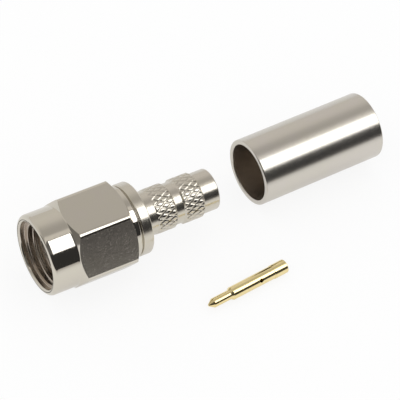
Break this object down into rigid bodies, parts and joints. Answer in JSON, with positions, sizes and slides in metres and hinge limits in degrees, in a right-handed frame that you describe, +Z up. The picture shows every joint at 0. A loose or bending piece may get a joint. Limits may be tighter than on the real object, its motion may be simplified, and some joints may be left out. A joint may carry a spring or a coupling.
{
  "type": "sma connector",
  "caption": "Straight coaxial crimp plug with a hexagon coupling nut and knurled stem, laid out with its loose centre contact and crimp ferrule.",
  "frame": {"origin": "centre of the mating reference plane, the front face of the outer contact's sleeve, on the plug's axis", "axes": "+Y along the plug's axis from its mating end to its crimp stem, +Z up from the surface that the three loose pieces lie on, 4 mm below the axis"},
  "size_m": [0.0147, 0.0366, 0.008],
  "materials": {
    "bright_nickel": "bright nickel plating on brass, finely turned",
    "ptfe": "smooth waxy white",
    "spring_bronze": "plain spring bronze",
    "silicone": "smooth silicone rubber",
    "gold_plate": "bright gold plating",
    "satin_nickel": "satin nickel plating on a drawn tube"
  },
  "bodies": {
    "plug": {"plug_body": "bright_nickel", "insulator": "ptfe", "retaining_ring": "spring_bronze", "gasket": "silicone", "centre_contact": "gold_plate", "crimp_ferrule": "satin_nickel"},
    "nut": {"coupling_nut": "bright_nickel"}
  },
  "joints": [
    {"name": "nut_spin", "type": "hinge", "parent": "plug", "child": "nut", "pos_m": [0, 0, 0], "axis": [0, 1, 0], "continuous": true}
  ]
}
